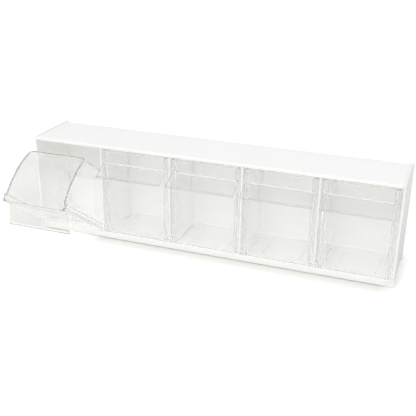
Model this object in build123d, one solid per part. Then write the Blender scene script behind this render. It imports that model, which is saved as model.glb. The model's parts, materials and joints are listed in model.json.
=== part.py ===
from build123d import *
import os
from math import atan2, cos, degrees, radians, sin, sqrt

os.makedirs("parts", exist_ok=True)

# Tilt bin organizer: a white five-bay housing of clipped and bonded panels, with a clear bin in each bay that
# turns forward about two moulded trunnions at its lower front edge. Millimetres, +X right, +Y back, +Z up.
# The origin is the centre of the housing's footprint, on the surface that it stands on.

# Housing, overall
housing_width = 600.0
housing_depth = 100.0
housing_height = 163.0
bin_count = 5
open_bin = 1

# Housing panels
end_wall = 3.0
divider_wall = 3.0
top_wall = 3.0
base_wall = 2.5
back_wall = 2.5
end_proud = 0.8

# Front lip of the top panel and front rail of the base tray
lip_drop = 1.7
lip_wall = 2.5
lip_round = 1.2
rail_height = 11.0
rail_wall = 1.8
rail_round = 0.8

# Feet along the lower edges of the end panels, and the beads down their rear edges
foot_width = 9.0
foot_clearance = 0.8
foot_round = 6.0
end_corner_round = 2.0
rear_reach = 6.5
bead_radius = 3.2
bead_out = 2.4

# Underside of the base tray
skirt_height = 2.0
skirt_wall = 4.0
front_skirt_lift = 1.0
centre_rib_width = 6.0
cross_rib_width = 5.0

# Bonded tongue and groove joints at the end panels
tongue_wall = 1.3
tongue_length = 1.5
tongue_setback = 8.0
joint_gap = 0.1

# Paired ribs that hold the edges of dividers and of the back panel
rib_wall = 1.5
rib_height = 3.0
divider_setback = 0.4
divider_edge_round = 1.2

# Pivots and tilt
pivot_setback = 7.5
pivot_height = 14.7
open_angle = 55.0
trunnion_radius = 3.0
trunnion_reach = 1.2
running_gap = 0.05
socket_depth = 1.5
hub_radius = 5.0
hub_gap = 0.5
ramp_depth_front = 0.9
ramp_depth_socket = 0.35
ramp_gap = 0.1
stop_gap = 0.3

# Clear bins
bin_wall = 2.0
side_gap = 2.95
collar_depth = 12.4
collar_step = 3.25
tub_taper = 1.5
back_gap = 2.0
rim_clearance = 3.3
rim_bead_out = 1.0
rim_bead_height = 2.6
plate_corner_round = 3.0
plate_corner_inside = 8.0
tub_corner_round = 7.0
floor_corner_round = 9.0
rest_gap = 0.2

# Finger flap on the front of each bin
flap_drop = 21.0
flap_length = 31.0
flap_slope = 28.0
flap_wall = 2.0
flap_inset = 1.0
flap_bead_radius = 1.7
flap_root_round = 2.0

# Rails in each bay that a closed bin rests on
rest_rail_wall = 2.0
rest_rail_spacing = 60.0
rest_rail_front_inset = 25.0
rest_rail_back_inset = 12.0

# Screw holes through the back panel
screw_spacing_across = 406.4
screw_drop = 27.0
screw_hole_radius = 2.5
screw_sink_radius = 4.5
screw_sink_depth = 1.5
screw_boss_radius = 8.0

# Places that follow from the sizes above
front_y = -housing_depth / 2
back_y = housing_depth / 2
end_x = housing_width / 2 - end_wall
foot_x = end_x - foot_width
base_top = skirt_height + base_wall
top_face = housing_height - end_proud
top_under = top_face - top_wall
lip_under = top_under - lip_drop
back_front_y = back_y - back_wall
bay_width = (2 * end_x - (bin_count - 1) * divider_wall) / bin_count
bay_pitch = bay_width + divider_wall
bay_centres = [(i - (bin_count - 1) / 2) * bay_pitch for i in range(bin_count)]
divider_centres = [(a + b) / 2 for a, b in zip(bay_centres, bay_centres[1:])]

pivot_y = front_y + pivot_setback
pivot_z = pivot_height
pivot_axis = Axis((0, pivot_y, pivot_z), (1, 0, 0))

# An open bin leans its front plate on the rounded top of the rail, and that sets the plate's place
rail_lever_y = pivot_setback - rail_round
rail_lever_z = pivot_height - rail_height + rail_round
lean = radians(open_angle)
plate_offset = rail_lever_y * cos(lean) + rail_lever_z * sin(lean) - rail_round - stop_gap
plate_y = pivot_y - plate_offset
bin_floor_z = pivot_z - plate_offset
bin_back_y = back_front_y - back_gap
foot_height = bin_floor_z - foot_clearance
rim_radius = lip_under - rim_clearance - pivot_z
collar_half = bay_width / 2 - side_gap
tub_half_front = collar_half - collar_step
tub_half_back = tub_half_front - tub_taper
shoulder_y = plate_y + collar_depth


def block(x_range, y_range, z_range):
    """A box between the given limits."""
    limits = (x_range, y_range, z_range)
    middle = [(low + high) / 2 for low, high in limits]
    size = [high - low for low, high in limits]
    return Pos(*middle) * Box(*size)


def rod_along_x(radius, x_range, y, z):
    """A round bar lying along X between two places."""
    low, high = x_range
    return Pos((low + high) / 2, y, z) * Rot(0, 90, 0) * Cylinder(radius, high - low)


def socket_ramp(face_x, inward):
    """The wedge that lets a trunnion slide in from the front edge until it drops into its socket."""
    half_width = trunnion_radius + ramp_gap
    outline = Polygon(
        (face_x, front_y),
        (face_x + inward * ramp_depth_front, front_y),
        (face_x + inward * ramp_depth_socket, pivot_y),
        (face_x, pivot_y),
        align=None,
    )
    return extrude(Plane.XY.offset(pivot_z - half_width) * outline, 2 * half_width)


# End panels, with a foot along the lower edge, a bead down the rear edge and grooves for the other panels
def right_end_panel():
    bead_x = housing_width / 2 + bead_out - bead_radius
    bead_y = back_y + rear_reach - bead_radius
    middle = ((front_y + bead_y) / 2, housing_height / 2)
    outline = Pos(*middle) * Rectangle(bead_y - front_y, housing_height)
    upper_front = outline.vertices().group_by(Axis.Y)[-1].sort_by(Axis.X)[0]
    outline = fillet(upper_front, end_corner_round)
    panel = extrude(Plane.YZ.offset(end_x) * outline, end_wall)
    panel += block((foot_x, end_x), (front_y, bead_y), (0, foot_height))
    outer_edge = panel.edges().filter_by(Axis.Y).group_by(Axis.Z)[0].sort_by(Axis.X)[-1]
    panel = fillet(outer_edge, foot_round)
    panel += Pos(bead_x, bead_y, housing_height / 2) * Cylinder(bead_radius, housing_height)

    grip = tongue_wall / 2 + joint_gap
    groove_x = (end_x, end_x + tongue_length + joint_gap)
    side_run = (front_y + tongue_setback - joint_gap, back_front_y - tongue_setback + joint_gap)
    top_mid = top_under + top_wall / 2
    base_mid = skirt_height + base_wall / 2
    back_mid = back_front_y + back_wall / 2
    rise = (base_top + tongue_setback - joint_gap, top_under - tongue_setback + joint_gap)
    panel -= block(groove_x, side_run, (top_mid - grip, top_mid + grip))
    panel -= block(groove_x, (back_mid - grip, back_mid + grip), rise)
    foot_groove_x = (foot_x, foot_x + tongue_length + joint_gap)
    panel -= block(foot_groove_x, side_run, (base_mid - grip, base_mid + grip))

    panel -= rod_along_x(trunnion_radius + running_gap, (end_x, end_x + socket_depth), pivot_y, pivot_z)
    return panel - socket_ramp(end_x, 1)


# Top panel, with its front lip and the paired ribs that the dividers and back panel slide between
def divider_rib_pair(x, y_range, z_range):
    inner = divider_wall / 2 + joint_gap
    left = block((x - inner - rib_wall, x - inner), y_range, z_range)
    right = block((x + inner, x + inner + rib_wall), y_range, z_range)
    return [left, right]


def top_panel():
    panel = block((-end_x, end_x), (front_y, back_y), (top_under, top_face))
    panel += block((-end_x, end_x), (front_y, front_y + lip_wall), (lip_under, top_under))
    front_edge = panel.edges().filter_by(Axis.X).group_by(Axis.Z)[-1].sort_by(Axis.Y)[0]
    panel = fillet(front_edge, lip_round)
    rib_z = (top_under - rib_height, top_under)
    rib_y = (front_y + lip_wall + rib_height, back_front_y - joint_gap - rib_wall)
    for x in divider_centres:
        panel += divider_rib_pair(x, rib_y, rib_z)
    stop_y = back_front_y - joint_gap
    for x in bay_centres:
        half = bay_width / 2 - joint_gap
        panel += block((x - half, x + half), (stop_y - rib_wall, stop_y), rib_z)
    grip = tongue_wall / 2
    middle = top_under + top_wall / 2
    for side in (-1, 1):
        tongue_x = sorted((side * end_x, side * (end_x + tongue_length)))
        run = (front_y + tongue_setback, back_front_y - tongue_setback)
        panel += block(tongue_x, run, (middle - grip, middle + grip))
    return panel


# Base tray, with its front rail, rest rails, paired ribs and a ribbed underside
def base_tray():
    tray = block((-end_x, end_x), (front_y, back_y), (0, base_top))
    rail = block((-end_x, end_x), (front_y, front_y + rail_wall), (0, rail_height))
    rail_top = rail.edges().filter_by(Axis.X).group_by(Axis.Z)[-1]
    tray += fillet(rail_top, rail_round)

    pocket_half = bay_pitch / 2 - cross_rib_width / 2
    rib_half = centre_rib_width / 2
    for x in bay_centres:
        across = (x - pocket_half, x + pocket_half)
        tray -= block(across, (front_y + skirt_wall, -rib_half), (0, skirt_height))
        tray -= block(across, (rib_half, back_y - skirt_wall), (0, skirt_height))

    tray -= block((-end_x, end_x), (front_y, front_y + skirt_wall), (0, front_skirt_lift))

    rest_y = (front_y + rest_rail_front_inset, bin_back_y - rest_rail_back_inset)
    stop_y = back_front_y - joint_gap
    for x in bay_centres:
        for side in (-1, 1):
            middle = x + side * rest_rail_spacing / 2
            rest_x = (middle - rest_rail_wall / 2, middle + rest_rail_wall / 2)
            tray += block(rest_x, rest_y, (base_top, bin_floor_z - rest_gap))
        half = bay_width / 2 - foot_width - joint_gap
        tray += block((x - half, x + half), (stop_y - rib_wall, stop_y), (base_top, base_top + rib_height))
    rib_y = (front_y + rail_wall + rib_height, stop_y - rib_wall)
    for x in divider_centres:
        tray += divider_rib_pair(x, rib_y, (base_top, base_top + rib_height))

    grip = tongue_wall / 2
    middle = skirt_height + base_wall / 2
    run = (front_y + tongue_setback, back_front_y - tongue_setback)
    for side in (-1, 1):
        foot_side = sorted((side * foot_x, side * end_x))
        tray -= block(foot_side, (front_y, back_y), (0, foot_height + joint_gap))
        tongue_x = sorted((side * foot_x, side * (foot_x + tongue_length)))
        tray += block(tongue_x, run, (middle - grip, middle + grip))
    return tray


# Back panel, with bosses that carry the wall screws and paired ribs for the dividers
def back_panel():
    panel = block((-end_x, end_x), (back_front_y, back_y), (base_top, top_under))
    rib_z = (base_top + 2 * rib_height, top_under - 2 * rib_height)
    for x in divider_centres:
        panel += divider_rib_pair(x, (back_front_y - rib_height, back_front_y), rib_z)
    length = back_wall + rear_reach
    base = (Align.CENTER, Align.CENTER, Align.MIN)
    for x in (-screw_spacing_across / 2, screw_spacing_across / 2):
        into_wall = Pos(x, back_front_y, housing_height - screw_drop) * Rot(-90, 0, 0)
        panel += Pos(0, back_wall, 0) * into_wall * Cylinder(screw_boss_radius, rear_reach, align=base)
        panel -= into_wall * Cylinder(screw_hole_radius, length, align=base)
        panel -= into_wall * Cone(screw_sink_radius, screw_hole_radius, screw_sink_depth, align=base)
    middle = back_front_y + back_wall / 2
    grip = tongue_wall / 2
    rise = (base_top + tongue_setback, top_under - tongue_setback)
    for side in (-1, 1):
        corner = sorted((side * foot_x, side * end_x))
        panel -= block(corner, (back_front_y, back_y), (base_top, foot_height + joint_gap))
        tongue_x = sorted((side * end_x, side * (end_x + tongue_length)))
        panel += block(tongue_x, (middle - grip, middle + grip), rise)
    return panel


# Divider panels, notched round the rail and the lip, with a through socket for the trunnions on both sides
def divider(x):
    across = (x - divider_wall / 2, x + divider_wall / 2)
    panel = block(across, (front_y + divider_setback, back_front_y), (base_top, top_under))
    front_edges = panel.edges().filter_by(Axis.Z).group_by(Axis.Y)[0]
    panel = fillet(front_edges, divider_edge_round)
    panel -= block(across, (front_y, front_y + rail_wall + joint_gap), (base_top, rail_height + joint_gap))
    panel -= block(across, (front_y, front_y + lip_wall + joint_gap), (lip_under - joint_gap, top_under))
    panel -= rod_along_x(trunnion_radius + running_gap, across, pivot_y, pivot_z)
    for side in (-1, 1):
        panel -= socket_ramp(x + side * divider_wall / 2, -side)
    return panel


# Clear bins, closed. The side view has a rim that is an arc about the pivot, so that it passes under the lip,
# with a bead along it behind the collar
def side_view(inset, rim):
    near = plate_offset - inset
    back = bin_back_y - inset
    low = bin_floor_z + inset
    corner = floor_corner_round - inset
    rim_back = pivot_z + sqrt(rim**2 - (back - pivot_y) ** 2)
    rim_front = pivot_z + sqrt(rim**2 - near**2)
    start = degrees(atan2(rim_back - pivot_z, back - pivot_y))
    end = degrees(atan2(rim_front - pivot_z, -near))
    pivot = (pivot_y, pivot_z)
    return make_face(
        [
            Line((pivot_y - near, rim_front), (pivot_y - near, pivot_z)),
            CenterArc(pivot, near, 180, 90),
            Line((pivot_y, low), (back - corner, low)),
            CenterArc((back - corner, low + corner), corner, 270, 90),
            Line((back, low + corner), (back, rim_back)),
            CenterArc(pivot, rim, start, end - start),
        ]
    )


def plan_view(inset, front_round, back_round):
    collar = collar_half - inset
    near = plate_y + inset
    shoulder = shoulder_y - inset
    half_front = tub_half_front - inset
    half_back = tub_half_back - inset
    back = bin_back_y - inset
    outline = Polygon(
        (-collar, near),
        (collar, near),
        (collar, shoulder),
        (half_front, shoulder),
        (half_back, back),
        (-half_back, back),
        (-half_front, shoulder),
        (-collar, shoulder),
        align=None,
    )
    outline = fillet(outline.vertices().group_by(Axis.Y)[0], front_round)
    return fillet(outline.vertices().group_by(Axis.Y)[-1], back_round)


def bin_form(inset, rim, front_round, back_round):
    seen_from_above = extrude(plan_view(inset, front_round, back_round), housing_height)
    seen_from_side = extrude(Plane.YZ * side_view(inset, rim), bay_width, both=True)
    return seen_from_above & seen_from_side


def finger_flap():
    root_z = pivot_z + rim_radius - flap_drop
    slope = radians(flap_slope)
    tip = (plate_y - flap_length * cos(slope), root_z - flap_length * sin(slope))
    across = (-flap_wall / 2 * sin(slope), flap_wall / 2 * cos(slope))
    root_half = flap_wall / 2 / cos(slope)
    strip_half = flap_drop / 2
    strip_back = plate_y + bin_wall
    section = Polygon(
        (strip_back, root_z - strip_half),
        (strip_back, root_z + strip_half),
        (plate_y, root_z + strip_half),
        (plate_y, root_z + root_half),
        (tip[0] + across[0], tip[1] + across[1]),
        (tip[0] - across[0], tip[1] - across[1]),
        (plate_y, root_z - root_half),
        (plate_y, root_z - strip_half),
        align=None,
    )
    front_row = section.vertices().group_by(Axis.X)[-2].sort_by(Axis.Y)
    section = fillet(front_row[1:3], flap_root_round)
    section += Pos(*tip) * Circle(flap_bead_radius)
    return extrude(Plane.YZ * section, collar_half - flap_inset, both=True)


def clear_bin():
    inside_round = min(plate_corner_inside, collar_depth - 2 * bin_wall - joint_gap)
    solid = bin_form(0, rim_radius, plate_corner_round, tub_corner_round)
    band = bin_form(-rim_bead_out, rim_radius, plate_corner_round, tub_corner_round + rim_bead_out)
    band -= rod_along_x(rim_radius - rim_bead_height, (-bay_width, bay_width), pivot_y, pivot_z)
    ahead_of_tub = (front_y - housing_depth, shoulder_y - bin_wall)
    solid += band - block((-bay_width, bay_width), ahead_of_tub, (0, housing_height))
    solid += finger_flap()
    tub_inside_round = tub_corner_round - bin_wall
    solid -= bin_form(bin_wall, rim_radius + rim_clearance, inside_round, tub_inside_round)
    for side in (-1, 1):
        hub_x = sorted((side * collar_half, side * (bay_width / 2 - hub_gap)))
        solid += rod_along_x(hub_radius, hub_x, pivot_y, pivot_z)
        pin_x = sorted((side * collar_half, side * (bay_width / 2 + trunnion_reach)))
        solid += rod_along_x(trunnion_radius, pin_x, pivot_y, pivot_z)
    return solid


def main():
    right = right_end_panel()
    export_step(right, "parts/right_end_panel.step")
    export_step(mirror(right, about=Plane.YZ), "parts/left_end_panel.step")
    export_step(top_panel(), "parts/top_panel.step")
    export_step(base_tray(), "parts/base_tray.step")
    export_step(back_panel(), "parts/back_panel.step")
    for number, x in enumerate(divider_centres, 1):
        export_step(divider(x), f"parts/divider_{number}.step")

    # One bin stands open and the others are closed
    closed = clear_bin()
    for number, x in enumerate(bay_centres, 1):
        placed = Pos(x, 0, 0) * closed
        if number == open_bin:
            placed = placed.rotate(pivot_axis, open_angle)
        export_step(placed, f"parts/bin_{number}.step")


main()
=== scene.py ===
import bmesh
import bpy
import json
from math import asin, cos, degrees, hypot, radians, sin, sqrt
from mathutils import Euler, Matrix, Vector


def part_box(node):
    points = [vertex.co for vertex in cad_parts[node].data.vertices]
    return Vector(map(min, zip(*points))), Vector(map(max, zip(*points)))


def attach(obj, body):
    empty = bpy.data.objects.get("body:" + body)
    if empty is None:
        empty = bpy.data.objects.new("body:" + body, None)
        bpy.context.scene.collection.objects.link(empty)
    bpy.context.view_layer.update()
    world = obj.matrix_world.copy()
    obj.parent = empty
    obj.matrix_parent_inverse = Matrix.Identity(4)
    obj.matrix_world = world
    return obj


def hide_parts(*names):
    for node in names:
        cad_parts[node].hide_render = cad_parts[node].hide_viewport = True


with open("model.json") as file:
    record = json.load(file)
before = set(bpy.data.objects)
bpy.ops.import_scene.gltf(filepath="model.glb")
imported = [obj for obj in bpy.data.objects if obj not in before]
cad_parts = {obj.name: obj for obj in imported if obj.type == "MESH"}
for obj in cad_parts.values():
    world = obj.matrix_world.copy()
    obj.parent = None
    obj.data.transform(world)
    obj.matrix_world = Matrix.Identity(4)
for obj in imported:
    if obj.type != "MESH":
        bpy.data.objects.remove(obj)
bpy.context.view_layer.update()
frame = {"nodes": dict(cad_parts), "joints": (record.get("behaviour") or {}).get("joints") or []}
nodes = frame["nodes"]

# End panels: the two outer walls, moulded in white high-impact polystyrene with a fine spark-eroded face.
# Each has a foot along its lower edge and a bead down its rear edge, and grooves that take the other panels.
# The same white plastic makes the rest of the housing, so its recipe is set out here.
sheet_step = 220


def fill(node, **settings):
    """Set a node's properties, and its unlinked inputs by their names, with _ in place of each space."""
    for name, value in settings.items():
        if hasattr(node, name):
            setattr(node, name, value)
        else:
            node.inputs[name.replace("_", " ")].default_value = value


def add_node(tree, kind, **settings):
    """A new node, filled in, to the right of those that are already on the sheet."""
    node = tree.nodes.new(kind)
    node.location.x = sheet_step * len(tree.nodes)
    fill(node, **settings)
    return node


def join(tree, source, output, target, socket):
    """Link an output of one node to an input of another, each by its name or number."""
    tree.links.new(source.outputs[output], target.inputs[socket])


def node_group(name, inputs, outputs):
    """An empty shader group with inputs of the named kinds and plain values as outputs, and its end nodes."""
    group = bpy.data.node_groups.new(name, "ShaderNodeTree")
    for label, kind in inputs.items():
        group.interface.new_socket(label, in_out="INPUT", socket_type=f"NodeSocket{kind}")
    for label in outputs:
        group.interface.new_socket(label, in_out="OUTPUT", socket_type="NodeSocketFloat")
    return group, add_node(group, "NodeGroupInput"), add_node(group, "NodeGroupOutput")


def moulded_grain_group():
    """The pitted face that a spark-eroded mould leaves: its height, and how its polish comes and goes."""
    patches_per_pit = 0.02
    inputs = {"Vector": "Vector", "Pits per metre": "Float"}
    group, start, end = node_group("moulded_grain", inputs, ("Height", "Polish"))
    pits = add_node(group, "ShaderNodeTexNoise", Detail=3.0, Roughness=0.6)
    join(group, start, "Vector", pits, "Vector")
    join(group, start, "Pits per metre", pits, "Scale")
    coarse = add_node(group, "ShaderNodeMath", operation="MULTIPLY")
    coarse.inputs[1].default_value = patches_per_pit
    join(group, start, "Pits per metre", coarse, 0)
    polish = add_node(group, "ShaderNodeTexNoise", Detail=4.0, Roughness=0.55)
    join(group, start, "Vector", polish, "Vector")
    join(group, coarse, 0, polish, "Scale")
    join(group, pits, "Fac", end, "Height")
    join(group, polish, "Fac", end, "Polish")
    return group


def melt_flow_group():
    """Broad fronts in the plastic, spreading from the gate where the melt came in, as a value from 0 to 1."""
    swirl_in_fronts = 3.0
    inputs = {"Vector": "Vector", "Gate": "Vector", "Fronts per metre": "Float"}
    group, start, end = node_group("melt_flow", inputs, ("Drift",))
    away = add_node(group, "ShaderNodeVectorMath", operation="DISTANCE")
    join(group, start, "Vector", away, 0)
    join(group, start, "Gate", away, 1)
    swirl = add_node(group, "ShaderNodeTexNoise", Detail=3.0, Roughness=0.5)
    join(group, start, "Vector", swirl, "Vector")
    join(group, start, "Fronts per metre", swirl, "Scale")
    reach = add_node(group, "ShaderNodeMath", operation="MULTIPLY")
    join(group, away, "Value", reach, 0)
    join(group, start, "Fronts per metre", reach, 1)
    bent = add_node(group, "ShaderNodeMath", operation="MULTIPLY_ADD")
    bent.inputs[1].default_value = swirl_in_fronts
    join(group, swirl, "Fac", bent, 0)
    join(group, reach, 0, bent, 2)
    fronts = add_node(group, "ShaderNodeTexNoise", noise_dimensions="1D", Detail=2.0, Scale=1.0)
    join(group, bent, 0, fronts, "W")
    join(group, fronts, "Fac", end, "Drift")
    return group


def handling_marks_group():
    """Fine hairline rubs from packing and use, as a mask, running mostly along the length of a piece."""
    inputs = {"Vector": "Vector", "Stretch": "Vector"}
    group, start, end = node_group("handling_marks", inputs, ("Mask",))
    combed = add_node(group, "ShaderNodeVectorMath", operation="MULTIPLY")
    join(group, start, "Vector", combed, 0)
    join(group, start, "Stretch", combed, 1)
    rubs = add_node(group, "ShaderNodeTexNoise", Detail=5.0, Roughness=0.65, Scale=1.0)
    join(group, combed, 0, rubs, "Vector")
    cut = add_node(group, "ShaderNodeMapRange", From_Min=0.62, From_Max=0.72)
    join(group, rubs, "Fac", cut, "Value")
    join(group, cut, "Result", end, "Mask")
    return group


moulded_grain = moulded_grain_group()
melt_flow = melt_flow_group()
handling_marks = handling_marks_group()


def white_plastic(name, gate, roughness):
    """Satin white polystyrene: warm white drifting along the flow of the melt, pitted, with faint rubs."""
    duller_white = (0.955, 0.957, 0.948, 1)
    purer_white = (0.965, 0.967, 0.96, 1)
    polish_swing = 0.09
    rub_dulling = 0.08
    material = bpy.data.materials.new(name)
    material.use_nodes = True
    tree = material.node_tree
    shader = tree.nodes["Principled BSDF"]
    fill(shader, IOR=1.55, Subsurface_Weight=0.35, Subsurface_Radius=(1.0, 0.97, 0.9), Subsurface_Scale=0.004)
    spot = add_node(tree, "ShaderNodeTexCoord")
    flow = add_node(tree, "ShaderNodeGroup", node_tree=melt_flow, Gate=gate, Fronts_per_metre=9.0)
    grain = add_node(tree, "ShaderNodeGroup", node_tree=moulded_grain, Pits_per_metre=1400.0)
    marks = add_node(tree, "ShaderNodeGroup", node_tree=handling_marks, Stretch=(18.0, 260.0, 260.0))
    for group in (flow, grain, marks):
        join(tree, spot, "Object", group, "Vector")
    tone = add_node(tree, "ShaderNodeMix", data_type="RGBA", A=duller_white, B=purer_white)
    join(tree, flow, "Drift", tone, "Factor")
    join(tree, tone, "Result", shader, "Base Color")
    satin = add_node(tree, "ShaderNodeMapRange")
    fill(satin, To_Min=roughness - polish_swing, To_Max=roughness + polish_swing)
    join(tree, grain, "Polish", satin, "Value")
    rubbed = add_node(tree, "ShaderNodeMath", operation="MULTIPLY_ADD")
    rubbed.inputs[1].default_value = rub_dulling
    join(tree, marks, "Mask", rubbed, 0)
    join(tree, satin, "Result", rubbed, 2)
    join(tree, rubbed, 0, shader, "Roughness")
    pitted = add_node(tree, "ShaderNodeBump", Strength=0.25, Distance=0.00006)
    join(tree, grain, "Height", pitted, "Height")
    join(tree, pitted, "Normal", shader, "Normal")
    return material


def dress(node_name, material):
    """Give a panel's solid its material in place of the plain one."""
    mesh = nodes[node_name].data
    mesh.materials.clear()
    mesh.materials.append(material)


for side in ("left", "right"):
    low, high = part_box(f"{side}_end_panel")
    end_gate = (Vector(low) + Vector(high)) / 2
    dress(f"{side}_end_panel", white_plastic(f"white_{side}_end", end_gate, roughness=0.4))

# Top panel: one flat white moulding with a rounded front lip and ribs below for the dividers and the back.
# Its tongues are bonded into the grooves of the end panels.
top_gate = (0.04, 0.02, 0.16)
dress("top_panel", white_plastic("white_top", top_gate, roughness=0.37))

# Base tray: the floor of the housing, with the front rail, rest rails for the bins and a ribbed underside.
# It is moulded in one piece of the white plastic and bonded between the feet of the end panels.
tray_gate = (-0.03, 0.0, 0.002)
dress("base_tray", white_plastic("white_tray", tray_gate, roughness=0.42))

# Back panel: a thin flat moulding of the white plastic that slides between ribs of the top and the tray.
# Two bosses on its rear face carry the wall screws.
back_gate = (0.0, 0.05, 0.08)
dress("back_panel", white_plastic("white_back", back_gate, roughness=0.44))

# Dividers: four thin walls of the white plastic between paired ribs, notched round the lip and the rail.
# Each has a socket near its lower front corner for the trunnions of the bins on both sides.
for name in sorted(node for node in nodes if node.startswith("divider")):
    low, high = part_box(name)
    divider_gate = ((low[0] + high[0]) / 2, high[1], (low[2] + high[2]) / 2)
    dress(name, white_plastic(f"white_{name}", divider_gate, roughness=0.42))

# Clear bins: general-purpose polystyrene, each moulded in one shot in a polished mould, all five alike.
# A stepped tub has a rim that is an arc about the pivot, a finger flap on its front plate, and a trunnion on
# each side that snaps into a socket. Every edge keeps the small radius that the mould leaves.
hinges = {joint["child"]: joint for joint in frame["joints"]}
bin_names = sorted(hinges)
closed_bin = bin_names[-1]
bay_x, pivot_y, pivot_z = hinges[closed_bin]["pos_m"]
closed_low, closed_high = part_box(closed_bin)

bin_wall = 0.002
mould_radius = 0.0004
mould_radius_steps = 4
step_round = 0.0006
step_round_steps = 4
rim_bead_out = 0.001
rim_bead_height = 0.0026
rim_bead_draft = 0.0002
collar_half = 0.05525
collar_depth = 0.0124
collar_step = 0.00325
tub_taper = 0.0015
corner_outside = 0.003
corner_inside = 0.008
corner_steps = 8
nook_outside = 0.0014
nook_inside = 0.002
nook_steps = 4
tub_corner_round = 0.007
tub_corner_steps = 10
floor_round = 0.009
floor_round_steps = 20
floor_edge_outside = 0.0006
floor_edge_inside = 0.0012
rim_radius = closed_high[2] - pivot_z
belly_radius = pivot_z - closed_low[2]
plate_y = pivot_y - belly_radius
shoulder_y = plate_y + collar_depth
tub_back_y = closed_high[1] - rim_bead_out
quarter_turns = [radians(90) * step / mould_radius_steps for step in range(mould_radius_steps + 1)]


def arc(centre, radius, start, end, steps, hollow=False):
    """Places and outward directions along an arc, with its angles in degrees."""
    places = []
    for step in range(steps + 1):
        angle = radians(start + (end - start) * step / steps)
        way = Vector((cos(angle), sin(angle)))
        places.append((Vector(centre) + way * radius, -way if hollow else way))
    return places


def run(start, end, steps):
    """Places and outward directions on a straight line, without its two ends."""
    along = (end - start).normalized()
    out = Vector((along.y, -along.x))
    return [(start.lerp(end, step / steps), out) for step in range(1, steps)]


def tub_outline(near, back, inset, front_round, nook_round):
    """The tub seen from above: a ring of places and outward directions, from the middle of the front."""
    collar = collar_half - inset
    shoulder = shoulder_y - inset
    side_front = collar - collar_step
    side_back = side_front - tub_taper
    back_round = tub_corner_round - inset
    front_centre = (collar - front_round, near + front_round)
    step_centre = (collar - step_round, shoulder - step_round)
    nook_centre = (side_front + nook_round, shoulder + nook_round)
    back_centre = (side_back - back_round, back - back_round)
    bends = [
        arc(front_centre, front_round, -90, 0, corner_steps),
        arc(step_centre, step_round, 0, 90, step_round_steps),
        arc(nook_centre, nook_round, -90, -180, nook_steps, hollow=True),
        arc(back_centre, back_round, 0, 90, tub_corner_steps),
        [(Vector((0, back)), Vector((0, 1)))],
    ]
    steps_before_bends = (8, 6, 2, 40, 10)
    half = [(Vector((0, near)), Vector((0, -1)))]
    for bend, steps in zip(bends, steps_before_bends):
        half += run(half[-1][0], bend[0][0], steps) + bend
    mirrored = [(Vector((-place.x, place.y)), Vector((-out.x, out.y))) for place, out in half[-2:0:-1]]
    return half + mirrored


def inner_corner(near, inset):
    """The radius of the thick front corner inside, or less where the belly leaves less room for it."""
    room = shoulder_y - inset - 2 * step_round - near
    return min(corner_inside, room)


def floor_rings(inset, nook_round, edge):
    """Rings from the floor up to where the walls stand straight, at an inset from the outer face."""
    corner = floor_round - inset
    belly = belly_radius - inset
    low = closed_low[2] + inset
    rings = []
    for step in range(floor_round_steps + 1):
        rise = corner * (1 - cos(radians(90) * step / floor_round_steps))
        below_pivot = max(pivot_z - low - rise, 0)
        near = pivot_y - sqrt(max(belly**2 - below_pivot**2, 0))
        back = tub_back_y - inset - corner + sqrt(corner**2 - (corner - rise) ** 2)
        below_edge = max(edge - rise, 0)
        side = inset + edge - sqrt(edge**2 - below_edge**2)
        front_round = inner_corner(near, side) if inset else corner_outside
        outline = tub_outline(near, back, side, front_round, nook_round)
        rings.append([(place.x, place.y, low + rise) for place, out in outline])
    return rings


def rim_ring(outline, shifts, radius):
    """A ring at a radius from the pivot, shifted outwards from an outline."""
    ring = []
    for (place, out), shift in zip(outline, shifts):
        moved = place + out * shift
        ring.append((moved.x, moved.y, pivot_z + sqrt(radius**2 - (moved.y - pivot_y) ** 2)))
    return ring


def rim_rings():
    """Rings over the rim from outside to inside: the bead behind the collar, then the two rounded edges."""
    inner_near = plate_y + bin_wall
    inner_back = tub_back_y - bin_wall
    outside = tub_outline(plate_y, tub_back_y, 0, corner_outside, nook_outside)
    inside = tub_outline(inner_near, inner_back, bin_wall, inner_corner(inner_near, bin_wall), nook_inside)
    bead = [rim_bead_out * (place.y > shoulder_y - bin_wall) for place, out in outside]
    under = rim_radius - rim_bead_height
    rings = [rim_ring(outside, [0] * len(outside), under)]
    for turn in quarter_turns:
        share = 1 - mould_radius / rim_bead_out * (1 - sin(turn))
        radius = under + rim_bead_draft + mould_radius * (1 - cos(turn))
        rings.append(rim_ring(outside, [out * share for out in bead], radius))
    for turn in quarter_turns:
        tuck = mould_radius * (1 - cos(turn))
        radius = rim_radius - mould_radius * (1 - sin(turn))
        rings.append(rim_ring(outside, [out - tuck for out in bead], radius))
    for turn in reversed(quarter_turns):
        tuck = mould_radius * (1 - cos(turn))
        radius = rim_radius - mould_radius * (1 - sin(turn))
        rings.append(rim_ring(inside, [tuck] * len(inside), radius))
    return rings


flap_drop = 0.021
flap_length = 0.031
flap_slope = radians(28)
flap_half_wall = 0.001
flap_inset = 0.001
flap_bead_radius = 0.0017
flap_bead_steps = 28
flap_root_round = 0.0004
flap_root_steps = 8
flap_root_bite = 0.0012
flap_root_turn_degrees = 8
flap_root = Vector((plate_y, pivot_z + rim_radius - flap_drop))
flap_tip = flap_root - flap_length * Vector((cos(flap_slope), sin(flap_slope)))
flap_half = collar_half - flap_inset


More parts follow.
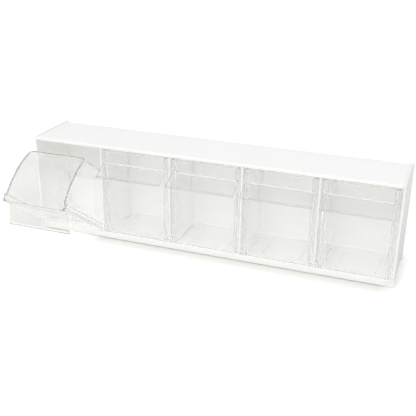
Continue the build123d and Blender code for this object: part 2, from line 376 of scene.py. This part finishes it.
def flap_section():
    """The flap seen from the side: places and outward directions from its root over the tip and back."""
    slope = degrees(flap_slope)
    reach = flap_half_wall + flap_root_round
    lean_in = flap_root_round * sin(flap_slope)
    upper = flap_root + Vector((-flap_root_round, (reach - lean_in) / cos(flap_slope)))
    lower = flap_root + Vector((-flap_root_round, (-reach - lean_in) / cos(flap_slope)))
    half_gap = degrees(asin(flap_half_wall / flap_bead_radius))
    places = arc(upper, flap_root_round, -flap_root_turn_degrees, slope - 90, flap_root_steps, hollow=True)
    places += arc(flap_tip, flap_bead_radius, slope + half_gap, 360 + slope - half_gap, flap_bead_steps)
    places += arc(lower, flap_root_round, 90 + slope, flap_root_turn_degrees, flap_root_steps, hollow=True)
    inside_y = plate_y + flap_root_bite
    first = (Vector((inside_y, places[0][0].y)), Vector((0, 1)))
    last = (Vector((inside_y, places[-1][0].y)), Vector((0, -1)))
    return [first] + places + [last]


def flap_rings():
    """The flap's section from side to side, drawn in at both ends for a rounded edge."""
    right_end = []
    for turn in quarter_turns:
        right_end.append((flap_half - mould_radius * (1 - sin(turn)), mould_radius * (1 - cos(turn))))
    stations = [(-x, tuck) for x, tuck in reversed(right_end)] + right_end
    return [[(x, *(place - out * tuck)) for place, out in flap_section()] for x, tuck in stations]


hub_radius = 0.005
hub_reach = 0.00245
hub_bite = 0.0012
pin_radius = 0.003
pin_end = closed_high[0] - bay_x
trunnion_steps = 64


def trunnion_rings(side):
    """A trunnion and the hub at its root, turned about the pivot, on one side of the tub."""
    hub_end = collar_half + hub_reach
    profile = [
        (collar_half - hub_bite, hub_radius),
        (hub_end - mould_radius, hub_radius),
        (hub_end, hub_radius - mould_radius),
        (hub_end, pin_radius),
        (pin_end - mould_radius, pin_radius),
        (pin_end, pin_radius - mould_radius),
    ]
    turns = [radians(360) * step / trunnion_steps for step in range(trunnion_steps)]
    return [
        [(side * x, pivot_y + radius * cos(turn), pivot_z + radius * sin(turn)) for turn in turns]
        for x, radius in profile
    ]


def skinned(name, shells):
    """An object of closed shells, each given as rings that are joined to the next and capped at both ends."""
    bm = bmesh.new()
    for rings in shells:
        rows = [[bm.verts.new(place) for place in ring] for ring in rings]
        count = len(rows[0])
        for lower, upper in zip(rows, rows[1:]):
            for here in range(count):
                after = (here + 1) % count
                bm.faces.new((lower[here], lower[after], upper[after], upper[here]))
        bm.faces.new(reversed(rows[0]))
        bm.faces.new(rows[-1])
    bmesh.ops.recalc_face_normals(bm, faces=bm.faces)
    mesh = bpy.data.meshes.new(name)
    bm.to_mesh(mesh)
    bm.free()
    piece = bpy.data.objects.new(name, mesh)
    bpy.context.scene.collection.objects.link(piece)
    return piece


def baked(piece):
    """The mesh that a piece's modifiers give."""
    return bpy.data.meshes.new_from_object(piece.evaluated_get(bpy.context.evaluated_depsgraph_get()))


# Painted shade for the clear bins: how grey the narrow edges and the flap are painted, in place of the dark
# lines and dim band that bent and reflected light give.
edge_reach = 0.00045
rim_side = collar_half - collar_step - tub_taper - bin_wall - mould_radius
side_rim_shade = 1.0
back_rim_shade = 0.7
flap_end_shade = 0.7
front_rim_shade = 0.35
flap_tip_shade = 0.35
painted_flap_shade = 0.08
wall_shade = 0.0
sharp_angle = radians(40)


def painted_shade_for_face(places):
    """How much painted shade a face gets, from its corners: the narrow edges are painted as grey lines, most
    of all the side rims, the flap gets a little painted shade, and the broad walls none."""
    on_rim = all(hypot(place.y - pivot_y, place.z - pivot_z) > rim_radius - edge_reach for place in places)
    at_side = all(abs(place.x) > rim_side for place in places)
    at_back = all(place.y > tub_back_y - tub_corner_round for place in places)
    on_tip = all((place.yz - flap_tip).length < flap_bead_radius + edge_reach for place in places)
    on_flap = all(place.y < plate_y - edge_reach for place in places)
    at_right = all(place.x > flap_half - edge_reach for place in places)
    at_left = all(place.x < edge_reach - flap_half for place in places)
    if on_rim:
        sideways = side_rim_shade if at_side else front_rim_shade
        return back_rim_shade if at_back else sideways
    if on_flap and (at_left or at_right):
        return flap_end_shade
    if on_tip:
        return flap_tip_shade
    return painted_flap_shade if on_flap else wall_shade


def moulded_bin():
    """One closed bin in the middle of the housing: the tub with its flap and trunnions grown on."""
    outside = floor_rings(0, nook_outside, floor_edge_outside)
    inside = floor_rings(bin_wall, nook_inside, floor_edge_inside)
    tub = skinned("tub", [outside + rim_rings() + inside[::-1]])
    grown = skinned("flap_and_trunnions", [flap_rings(), trunnion_rings(-1), trunnion_rings(1)])
    union = tub.modifiers.new("union", "BOOLEAN")
    union.operation = "UNION"
    union.solver = "EXACT"
    union.object = grown
    tub.data = baked(tub)
    tub.modifiers.clear()
    tub.data.shade_smooth()
    tub.data.set_sharp_from_angle(angle=sharp_angle)
    even = tub.modifiers.new("even", "WEIGHTED_NORMAL")
    even.mode = "FACE_AREA"
    even.weight = 100
    even.keep_sharp = True
    mesh = baked(tub)
    # The painted shade of each face goes into the edge attribute.
    shade = mesh.attributes.new("edge", "FLOAT", "FACE")
    for face in mesh.polygons:
        shade.data[face.index].value = painted_shade_for_face([mesh.vertices[corner].co for corner in face.vertices])
    for used in (tub, grown):
        bpy.data.objects.remove(used)
    return mesh


def clear_plastic(name, gate):
    """Clear polystyrene: polished walls with a slight wave and fine rubs, with painted shade on the narrow
    edges and the flap. The lens always sees the plastic. A ray that has met a few faces goes on unbent, as
    does light for shadows."""
    clear_wall = (1, 1, 1, 1)
    painted_edge_grey = (0.42, 0.46, 0.47, 1)
    smoke = (0.75, 0.8, 0.83, 1)
    faces_that_bend = 3.5
    material = bpy.data.materials.new(name)
    material.use_nodes = True
    tree = material.node_tree
    shader = tree.nodes["Principled BSDF"]
    fill(shader, IOR=1.57, Transmission_Weight=1.0)
    # Painted shade: the edge attribute mixes a grey-teal into the clear colour, in place of the dark lines
    # that bent light gives at narrow edges.
    edge = add_node(tree, "ShaderNodeAttribute", attribute_name="edge")
    colour = add_node(tree, "ShaderNodeMix", data_type="RGBA", A=clear_wall, B=painted_edge_grey)
    join(tree, edge, "Fac", colour, "Factor")
    join(tree, colour, "Result", shader, "Base Color")
    spot = add_node(tree, "ShaderNodeTexCoord")
    flow = add_node(tree, "ShaderNodeGroup", node_tree=melt_flow, Gate=gate, Fronts_per_metre=22.0)
    marks = add_node(tree, "ShaderNodeGroup", node_tree=handling_marks, Stretch=(30.0, 300.0, 300.0))
    for group in (flow, marks):
        join(tree, spot, "Object", group, "Vector")
    polish = add_node(tree, "ShaderNodeMapRange", To_Min=0.015, To_Max=0.06)
    join(tree, marks, "Mask", polish, "Value")
    join(tree, polish, "Result", shader, "Roughness")
    wave = add_node(tree, "ShaderNodeBump", Strength=0.02, Distance=0.0003)
    join(tree, flow, "Drift", wave, "Height")
    join(tree, wave, "Normal", shader, "Normal")
    tint = add_node(tree, "ShaderNodeVolumeAbsorption", Color=smoke, Density=4.0)
    clear = add_node(tree, "ShaderNodeBsdfTransparent", Color=clear_wall)
    path = add_node(tree, "ShaderNodeLightPath")
    deep = add_node(tree, "ShaderNodeMath", operation="GREATER_THAN")
    deep.inputs[1].default_value = faces_that_bend
    join(tree, path, "Ray Depth", deep, 0)
    switches = (
        (deep, "Value", clear),
        (path, "Is Camera Ray", shader),
        (path, "Is Diffuse Ray", clear),
        (path, "Is Shadow Ray", clear),
    )
    surface = shader
    for source, output, other in switches:
        mix = add_node(tree, "ShaderNodeMixShader")
        join(tree, source, output, mix, "Fac")
        join(tree, surface, 0, mix, 1)
        join(tree, other, "BSDF", mix, 2)
        surface = mix
    out = tree.nodes["Material Output"]
    join(tree, surface, 0, out, "Surface")
    join(tree, tint, "Volume", out, "Volume")
    return material


closed_mesh = moulded_bin()
for name in bin_names:
    bay_x = hinges[name]["pos_m"][0]
    lean = radians(-hinges[name]["range_deg"][0])
    from_pivot = Matrix.Translation((0, -pivot_y, -pivot_z))
    to_bay = Matrix.Translation((bay_x, pivot_y, pivot_z))
    bin_mesh = closed_mesh.copy()
    bin_mesh.transform(to_bay @ Matrix.Rotation(lean, 4, "X") @ from_pivot)
    bin_mesh.materials.append(clear_plastic(f"clear_{name}", (bay_x, pivot_y, closed_low[2])))
    clear_bin = bpy.data.objects.new(f"clear_{name}", bin_mesh)
    bpy.context.scene.collection.objects.link(clear_bin)
    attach(clear_bin, name)
    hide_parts(name)

# Floor: a studio sweep in warm white matt paint. To the lens it glows out to white, but in a box round the
# foot of the housing, trimmed at both ends, the glow fades away, so its own tone and its real shadow show
# there: the reach of that shadow is painted. Through the bins and in reflections the glow fades in over a
# longer stretch, which is painted shade near the foot. A refracted ray counts as glossy and as transmitted,
# so those two shares add up.
floor_reach = 6.0
floor_drop = 0.0003
shade_reach = 0.052
mirrored_shade_reach = 0.3
shade_trim_left = 0.12
shade_trim_right = 0.02
floor_whites = (
    ("Is Camera Ray", 0.6, shade_reach),
    ("Is Glossy Ray", 0.32, mirrored_shade_reach),
    ("Is Transmission Ray", -0.12, mirrored_shade_reach),
)
floor_tone = (0.78, 0.767, 0.735, 1)
burnt_out_tone = (0.9, 0.96, 1.0, 1)
floor_mesh = bpy.data.meshes.new("floor")
corner_signs = ((-1, -1), (1, -1), (1, 1), (-1, 1))
floor_corners = [(x * floor_reach, y * floor_reach, -floor_drop) for x, y in corner_signs]
floor_mesh.from_pydata(floor_corners, [], [range(len(floor_corners))])
floor = bpy.data.objects.new("floor", floor_mesh)
bpy.context.scene.collection.objects.link(floor)
floor_paint = bpy.data.materials.new("floor_paint")
floor_paint.use_nodes = True
tree = floor_paint.node_tree
shader = tree.nodes["Principled BSDF"]
fill(shader, Base_Color=floor_tone, Roughness=0.9, Specular_IOR_Level=0.0, Emission_Color=burnt_out_tone)
# Painted shadow: the box round the foot, trimmed at its ends, where the floor's glow is taken away.
foot_low, foot_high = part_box("base_tray")
shade_low = Vector((foot_low[0] + shade_trim_left, foot_low[1], 0))
shade_high = Vector((foot_high[0] - shade_trim_right, foot_high[1], 0))
shade_steps = (
    ("SUBTRACT", (shade_low + shade_high) / 2),
    ("ABSOLUTE", Vector()),
    ("SUBTRACT", (shade_high - shade_low) / 2),
    ("MAXIMUM", Vector()),
)
spot = add_node(tree, "ShaderNodeTexCoord")
beside_foot = spot.outputs["Object"]
for operation, other in shade_steps:
    step = add_node(tree, "ShaderNodeVectorMath", operation=operation)
    step.inputs[1].default_value = other
    tree.links.new(beside_foot, step.inputs[0])
    beside_foot = step.outputs["Vector"]
from_foot = add_node(tree, "ShaderNodeVectorMath", operation="LENGTH")
tree.links.new(beside_foot, from_foot.inputs[0])
path = add_node(tree, "ShaderNodeLightPath")
white = None
for ray, strength, reach in floor_whites:
    burn = add_node(tree, "ShaderNodeMapRange", From_Max=reach)
    join(tree, from_foot, "Value", burn, "Value")
    share = add_node(tree, "ShaderNodeMath", operation="MULTIPLY")
    share.inputs[1].default_value = strength
    join(tree, path, ray, share, 0)
    lift = add_node(tree, "ShaderNodeMath", operation="MULTIPLY_ADD")
    lift.inputs[2].default_value = 0.0
    join(tree, share, 0, lift, 0)
    join(tree, burn, "Result", lift, 1)
    if white:
        join(tree, white, 0, lift, 2)
    white = lift
join(tree, white, 0, shader, "Emission Strength")
floor_mesh.materials.append(floor_paint)

# Studio light: a surround that is bright in front and behind and darker at the sides and overhead,
# and one large softbox above the front. The lens sees a white backdrop in place of the surround.
left_level = 0.57
right_level = 0.55
front_and_back_level = 1.03
overhead_level = 0.53
overhead_falloff = 2.0


def grey(level):
    """A neutral colour."""
    return (level, level, level, 1)


world = bpy.data.worlds.new("studio")
bpy.context.scene.world = world
world.use_nodes = True
tree = world.node_tree
surround = tree.nodes["Background"]
way = add_node(tree, "ShaderNodeTexCoord")
split = add_node(tree, "ShaderNodeSeparateXYZ")
join(tree, way, "Generated", split, "Vector")
across = add_node(tree, "ShaderNodeMapRange", From_Min=-1.0)
join(tree, split, "X", across, "Value")
horizon = add_node(tree, "ShaderNodeValToRGB")
left_end, right_end = horizon.color_ramp.elements
left_end.color = grey(left_level)
right_end.color = grey(right_level)
halfway = horizon.color_ramp.elements.new(0.5)
halfway.color = grey(front_and_back_level)
join(tree, across, "Result", horizon, "Fac")
height = add_node(tree, "ShaderNodeMath", operation="POWER")
height.inputs[1].default_value = overhead_falloff
join(tree, split, "Z", height, 0)
dome = add_node(tree, "ShaderNodeMix", data_type="RGBA", B=grey(overhead_level))
join(tree, height, 0, dome, "Factor")
join(tree, horizon, "Color", dome, "A")
join(tree, dome, "Result", surround, "Color")
backdrop = add_node(tree, "ShaderNodeBackground", Color=grey(1.0), Strength=1.0)
path = add_node(tree, "ShaderNodeLightPath")
shown = add_node(tree, "ShaderNodeMixShader")
join(tree, path, "Is Camera Ray", shown, "Fac")
join(tree, surround, "Background", shown, 1)
join(tree, backdrop, "Background", shown, 2)
join(tree, shown, 0, tree.nodes["World Output"], "Surface")

softbox_place = Vector((0.0, -1.35, 1.95))
softbox_target = Vector((0, 0, 0.08))
softbox = bpy.data.lights.new("softbox", "AREA")
softbox.shape = "RECTANGLE"
softbox.size = 2.4
softbox.size_y = 1.8
softbox.energy = 26
softbox_object = bpy.data.objects.new("softbox", softbox)
softbox_object.location = softbox_place
softbox_object.rotation_euler = (softbox_target - softbox_place).to_track_quat("-Z", "Y").to_euler()
bpy.context.scene.collection.objects.link(softbox_object)
bounces = bpy.context.scene.cycles
bounces.max_bounces = 128
bounces.diffuse_bounces = 16
bounces.glossy_bounces = 128
bounces.transmission_bounces = 128
bounces.transparent_max_bounces = 48

# Camera: a standing view from the front right, a little above the housing, with a moderately long lens.
# Its place, direction and slight roll were fitted to the housing's corners and the lines of its dividers.
azimuth = radians(19.57)
elevation = radians(22.72)
roll = radians(0.98)
camera_place = (0.3536, -1.0265, 0.5166)
camera = bpy.data.cameras.new("camera")
camera.sensor_width = 36
camera.lens = 62.16
camera_object = bpy.data.objects.new("camera", camera)
look = Euler((radians(90) - elevation, 0, azimuth)).to_matrix() @ Matrix.Rotation(roll, 3, "Z")
camera_object.location = camera_place
camera_object.rotation_euler = look.to_euler()
bpy.context.scene.collection.objects.link(camera_object)
bpy.context.scene.camera = camera_object
bpy.context.scene.view_settings.view_transform = "Standard"
